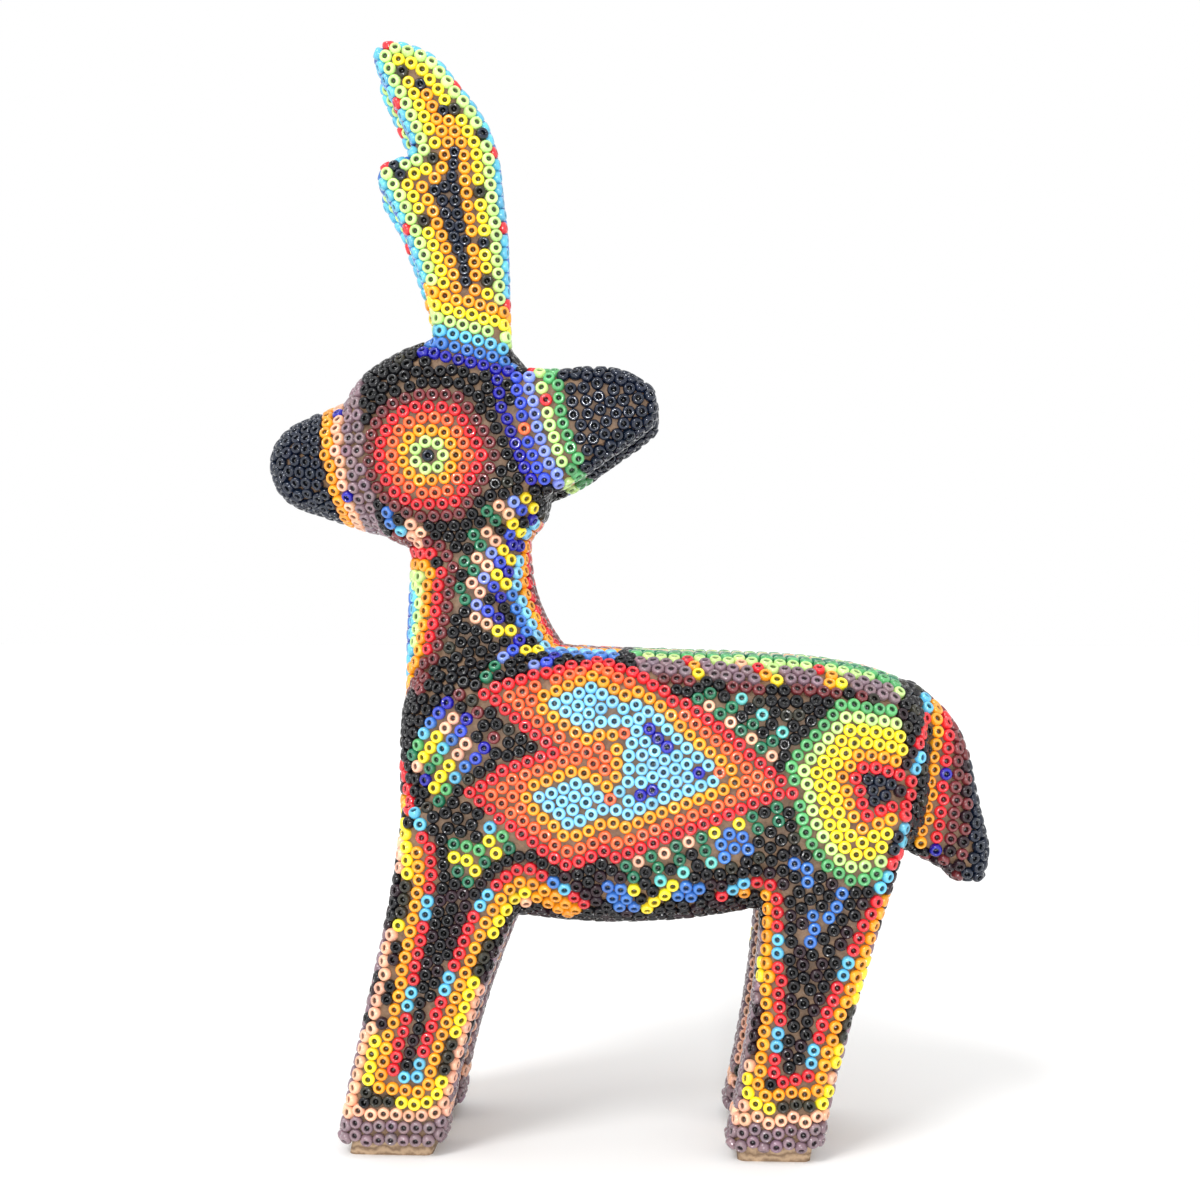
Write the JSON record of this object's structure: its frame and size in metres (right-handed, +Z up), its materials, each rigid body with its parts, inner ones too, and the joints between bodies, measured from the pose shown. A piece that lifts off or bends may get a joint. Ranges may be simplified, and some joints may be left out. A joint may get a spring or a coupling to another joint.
{
  "type": "beaded deer figure",
  "caption": "Standing deer figure of carved wood under wax, covered in glass seed beads set in folk designs.",
  "frame": {"origin": "on the ground, under the middle of the figure's bounding box", "axes": "+Z up, -X the way the head points, -Y the deer's left side"},
  "size_m": [0.1247, 0.0362, 0.1869],
  "materials": {
    "wood": "carved softwood, darkened by wax, bare under the hooves",
    "dowel": "plain turned dowel",
    "wax": "warm brown beeswax, satin, with tool and finger marks",
    "beads_yellow": "opaque glass seed beads, glossy, yellow, amber and lime",
    "beads_navy": "opaque navy glass seed beads with an iris lustre",
    "beads_red": "opaque glass seed beads, glossy, red, orange and amber",
    "beads_mauve": "opaque glass seed beads, glossy, mauve and peach",
    "beads_periwinkle": "opaque glass seed beads, glossy, blues, lime and green",
    "beads_black": "opaque black glass seed beads, glossy",
    "beads_orange": "opaque glass seed beads, glossy, red, orange and amber round pale blue",
    "beads_sky": "opaque pale blue glass seed beads, glossy",
    "beads_green": "opaque glass seed beads, glossy, green, lime and yellow",
    "beads_aubergine": "opaque dark plum and black glass seed beads, glossy"
  },
  "bodies": {
    "root": {"antler_left_peg": "dowel", "antler_left_wood": "wood", "antler_right_peg": "dowel", "antler_right_wood": "wood", "beads_antler_left": "beads_yellow", "beads_antler_right": "beads_yellow", "beads_back": "beads_mauve", "beads_belly": "beads_black", "beads_ear_left": "beads_periwinkle", "beads_ear_right": "beads_periwinkle", "beads_eye_left": "beads_red", "beads_eye_right": "beads_red", "beads_fish_left": "beads_orange", "beads_fish_right": "beads_orange", "beads_flower_left": "beads_green", "beads_flower_right": "beads_green", "beads_foreleg_left": "beads_yellow", "beads_foreleg_right": "beads_yellow", "beads_head": "beads_black", "beads_hindleg_left": "beads_aubergine", "beads_hindleg_right": "beads_aubergine", "beads_muzzle": "beads_mauve", "beads_nape": "beads_sky", "beads_neck_left": "beads_black", "beads_neck_right": "beads_black", "beads_nose": "beads_navy", "beads_shoulder_left": "beads_black", "beads_shoulder_right": "beads_black", "beads_side_left": "beads_black", "beads_side_right": "beads_black", "beads_tail": "beads_navy", "beads_throat": "beads_orange", "carved_body": "wood", "ear_left_peg": "dowel", "ear_left_wood": "wood", "ear_right_peg": "dowel", "ear_right_wood": "wood", "tail_peg": "dowel", "tail_wood": "wood", "wax_coat": "wax"}
  },
  "joints": []
}
